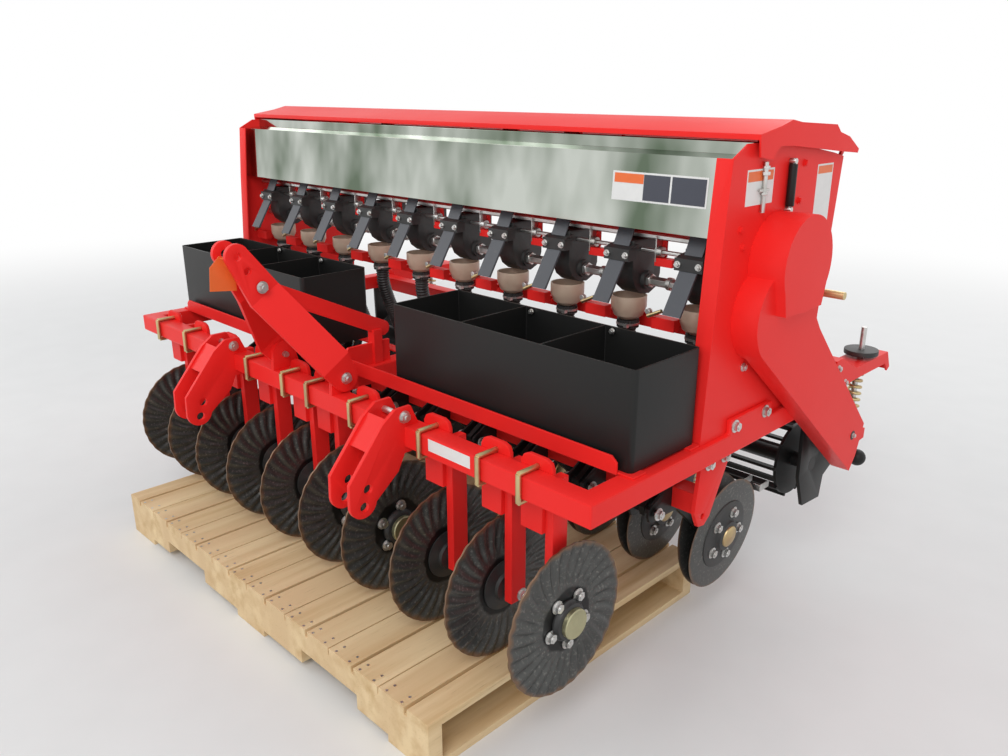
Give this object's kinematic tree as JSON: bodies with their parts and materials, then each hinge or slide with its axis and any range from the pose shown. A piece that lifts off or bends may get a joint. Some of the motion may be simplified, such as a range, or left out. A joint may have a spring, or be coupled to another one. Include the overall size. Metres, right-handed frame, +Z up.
{
  "type": "seed drill",
  "caption": "Mounted seed drill with wavy coulters, double-disc openers, a cage roller, ballast boxes and a lidded seed hopper, on its pallet",
  "frame": {"origin": "on the floor, under the middle of the tool bar's front face", "axes": "X across the machine, Y from the hitch to the rear roller, Z up"},
  "size_m": [2.04, 1.575, 1.297],
  "materials": {
    "red_paint": "gloss powder coat",
    "black_paint": "semi-gloss powder coat",
    "grey_paint": "satin paint",
    "stainless": "polished stainless sheet",
    "dark_steel": "dark lacquered steel",
    "zinc": "clear zinc plate",
    "yellow_zinc": "yellow zinc plate",
    "black_plastic": "moulded",
    "tan_plastic": "translucent moulding",
    "hose_rubber": "corrugated hose",
    "pine": "rough sawn"
  },
  "bodies": {
    "drill": {"main_frame": "red_paint", "pallet": "pine", "hitch_mast": "red_paint", "mast_brace": "red_paint", "hitch_brackets": "red_paint", "coulter_shanks": "red_paint", "shank_clamps": "red_paint", "clamp_bolts": "yellow_zinc", "ballast_boxes": "black_paint", "box_shelf": "red_paint", "end_plates": "red_paint", "front_panel": "stainless", "hopper_trough": "red_paint", "meter_housings": "black_plastic", "seed_cups": "tan_plastic", "meter_shafts": "zinc", "shutter_plates": "grey_paint", "seed_hoses": "hose_rubber", "opener_bar": "red_paint", "opener_arms": "black_paint", "down_springs": "yellow_zinc", "chain_case": "red_paint", "rate_adjuster": "yellow_zinc", "roller_arms": "black_paint", "spring_brackets": "red_paint", "hand_wheels": "black_plastic", "gas_strut": "black_paint", "lid_latch": "zinc"},
    "hopper_lid": {"lid": "red_paint"},
    "roller": {"cage_roller": "black_paint"},
    "coulter_01": {"coulter_01": "dark_steel"},
    "coulter_02": {"coulter_02": "dark_steel"},
    "coulter_03": {"coulter_03": "dark_steel"},
    "coulter_04": {"coulter_04": "dark_steel"},
    "coulter_05": {"coulter_05": "dark_steel"},
    "coulter_06": {"coulter_06": "dark_steel"},
    "coulter_07": {"coulter_07": "dark_steel"},
    "coulter_08": {"coulter_08": "dark_steel"},
    "coulter_09": {"coulter_09": "dark_steel"},
    "coulter_10": {"coulter_10": "dark_steel"},
    "opener_01_left": {"opener_disc_01_left": "dark_steel"},
    "opener_01_right": {"opener_disc_01_right": "dark_steel"},
    "opener_02_left": {"opener_disc_02_left": "dark_steel"},
    "opener_02_right": {"opener_disc_02_right": "dark_steel"},
    "opener_03_left": {"opener_disc_03_left": "dark_steel"},
    "opener_03_right": {"opener_disc_03_right": "dark_steel"},
    "opener_04_left": {"opener_disc_04_left": "dark_steel"},
    "opener_04_right": {"opener_disc_04_right": "dark_steel"},
    "opener_05_left": {"opener_disc_05_left": "dark_steel"},
    "opener_05_right": {"opener_disc_05_right": "dark_steel"},
    "opener_06_left": {"opener_disc_06_left": "dark_steel"},
    "opener_06_right": {"opener_disc_06_right": "dark_steel"},
    "opener_07_left": {"opener_disc_07_left": "dark_steel"},
    "opener_07_right": {"opener_disc_07_right": "dark_steel"},
    "opener_08_left": {"opener_disc_08_left": "dark_steel"},
    "opener_08_right": {"opener_disc_08_right": "dark_steel"},
    "opener_09_left": {"opener_disc_09_left": "dark_steel"},
    "opener_09_right": {"opener_disc_09_right": "dark_steel"},
    "opener_10_left": {"opener_disc_10_left": "dark_steel"},
    "opener_10_right": {"opener_disc_10_right": "dark_steel"}
  },
  "joints": [
    {"name": "lid_hinge", "type": "hinge", "parent": "drill", "child": "hopper_lid", "pos_m": [0, 0.906, 1.226], "axis": [-1, 0, 0], "range_deg": [0, 80]},
    {"name": "roller_axle", "type": "hinge", "parent": "drill", "child": "roller", "pos_m": [0, 1, 0.386], "axis": [1, 0, 0], "continuous": true},
    {"name": "coulter_01_axle", "type": "hinge", "parent": "drill", "child": "coulter_01", "pos_m": [-0.855, 0.078, 0.3003], "axis": [1, 0, 0], "continuous": true},
    {"name": "coulter_02_axle", "type": "hinge", "parent": "drill", "child": "coulter_02", "pos_m": [-0.665, 0.078, 0.3003], "axis": [1, 0, 0], "continuous": true},
    {"name": "coulter_03_axle", "type": "hinge", "parent": "drill", "child": "coulter_03", "pos_m": [-0.475, 0.078, 0.3003], "axis": [1, 0, 0], "continuous": true},
    {"name": "coulter_04_axle", "type": "hinge", "parent": "drill", "child": "coulter_04", "pos_m": [-0.285, 0.078, 0.3003], "axis": [1, 0, 0], "continuous": true},
    {"name": "coulter_05_axle", "type": "hinge", "parent": "drill", "child": "coulter_05", "pos_m": [-0.095, 0.078, 0.3003], "axis": [1, 0, 0], "continuous": true},
    {"name": "coulter_06_axle", "type": "hinge", "parent": "drill", "child": "coulter_06", "pos_m": [0.095, 0.078, 0.3003], "axis": [1, 0, 0], "continuous": true},
    {"name": "coulter_07_axle", "type": "hinge", "parent": "drill", "child": "coulter_07", "pos_m": [0.285, 0.078, 0.3003], "axis": [1, 0, 0], "continuous": true},
    {"name": "coulter_08_axle", "type": "hinge", "parent": "drill", "child": "coulter_08", "pos_m": [0.475, 0.078, 0.3003], "axis": [1, 0, 0], "continuous": true},
    {"name": "coulter_09_axle", "type": "hinge", "parent": "drill", "child": "coulter_09", "pos_m": [0.665, 0.078, 0.3003], "axis": [1, 0, 0], "continuous": true},
    {"name": "coulter_10_axle", "type": "hinge", "parent": "drill", "child": "coulter_10", "pos_m": [0.855, 0.078, 0.3003], "axis": [1, 0, 0], "continuous": true},
    {"name": "opener_disc_01_left_axle", "type": "hinge", "parent": "drill", "child": "opener_01_left", "pos_m": [-0.8726, 0.668, 0.2773], "axis": [0.9962, 0, 0.0872], "continuous": true},
    {"name": "opener_disc_01_right_axle", "type": "hinge", "parent": "drill", "child": "opener_01_right", "pos_m": [-0.8374, 0.668, 0.2773], "axis": [0.9962, 0, -0.0872], "continuous": true},
    {"name": "opener_disc_02_left_axle", "type": "hinge", "parent": "drill", "child": "opener_02_left", "pos_m": [-0.6826, 0.668, 0.2773], "axis": [0.9962, 0, 0.0872], "continuous": true},
    {"name": "opener_disc_02_right_axle", "type": "hinge", "parent": "drill", "child": "opener_02_right", "pos_m": [-0.6474, 0.668, 0.2773], "axis": [0.9962, 0, -0.0872], "continuous": true},
    {"name": "opener_disc_03_left_axle", "type": "hinge", "parent": "drill", "child": "opener_03_left", "pos_m": [-0.4926, 0.668, 0.2773], "axis": [0.9962, 0, 0.0872], "continuous": true},
    {"name": "opener_disc_03_right_axle", "type": "hinge", "parent": "drill", "child": "opener_03_right", "pos_m": [-0.4574, 0.668, 0.2773], "axis": [0.9962, 0, -0.0872], "continuous": true},
    {"name": "opener_disc_04_left_axle", "type": "hinge", "parent": "drill", "child": "opener_04_left", "pos_m": [-0.3026, 0.668, 0.2773], "axis": [0.9962, 0, 0.0872], "continuous": true},
    {"name": "opener_disc_04_right_axle", "type": "hinge", "parent": "drill", "child": "opener_04_right", "pos_m": [-0.2674, 0.668, 0.2773], "axis": [0.9962, 0, -0.0872], "continuous": true},
    {"name": "opener_disc_05_left_axle", "type": "hinge", "parent": "drill", "child": "opener_05_left", "pos_m": [-0.1126, 0.668, 0.2773], "axis": [0.9962, 0, 0.0872], "continuous": true},
    {"name": "opener_disc_05_right_axle", "type": "hinge", "parent": "drill", "child": "opener_05_right", "pos_m": [-0.0774, 0.668, 0.2773], "axis": [0.9962, 0, -0.0872], "continuous": true},
    {"name": "opener_disc_06_left_axle", "type": "hinge", "parent": "drill", "child": "opener_06_left", "pos_m": [0.0774, 0.668, 0.2773], "axis": [0.9962, 0, 0.0872], "continuous": true},
    {"name": "opener_disc_06_right_axle", "type": "hinge", "parent": "drill", "child": "opener_06_right", "pos_m": [0.1126, 0.668, 0.2773], "axis": [0.9962, 0, -0.0872], "continuous": true},
    {"name": "opener_disc_07_left_axle", "type": "hinge", "parent": "drill", "child": "opener_07_left", "pos_m": [0.2674, 0.668, 0.2773], "axis": [0.9962, 0, 0.0872], "continuous": true},
    {"name": "opener_disc_07_right_axle", "type": "hinge", "parent": "drill", "child": "opener_07_right", "pos_m": [0.3026, 0.668, 0.2773], "axis": [0.9962, 0, -0.0872], "continuous": true},
    {"name": "opener_disc_08_left_axle", "type": "hinge", "parent": "drill", "child": "opener_08_left", "pos_m": [0.4574, 0.668, 0.2773], "axis": [0.9962, 0, 0.0872], "continuous": true},
    {"name": "opener_disc_08_right_axle", "type": "hinge", "parent": "drill", "child": "opener_08_right", "pos_m": [0.4926, 0.668, 0.2773], "axis": [0.9962, 0, -0.0872], "continuous": true},
    {"name": "opener_disc_09_left_axle", "type": "hinge", "parent": "drill", "child": "opener_09_left", "pos_m": [0.6474, 0.668, 0.2773], "axis": [0.9962, 0, 0.0872], "continuous": true},
    {"name": "opener_disc_09_right_axle", "type": "hinge", "parent": "drill", "child": "opener_09_right", "pos_m": [0.6826, 0.668, 0.2773], "axis": [0.9962, 0, -0.0872], "continuous": true},
    {"name": "opener_disc_10_left_axle", "type": "hinge", "parent": "drill", "child": "opener_10_left", "pos_m": [0.8374, 0.668, 0.2773], "axis": [0.9962, 0, 0.0872], "continuous": true},
    {"name": "opener_disc_10_right_axle", "type": "hinge", "parent": "drill", "child": "opener_10_right", "pos_m": [0.8726, 0.668, 0.2773], "axis": [0.9962, 0, -0.0872], "continuous": true}
  ]
}
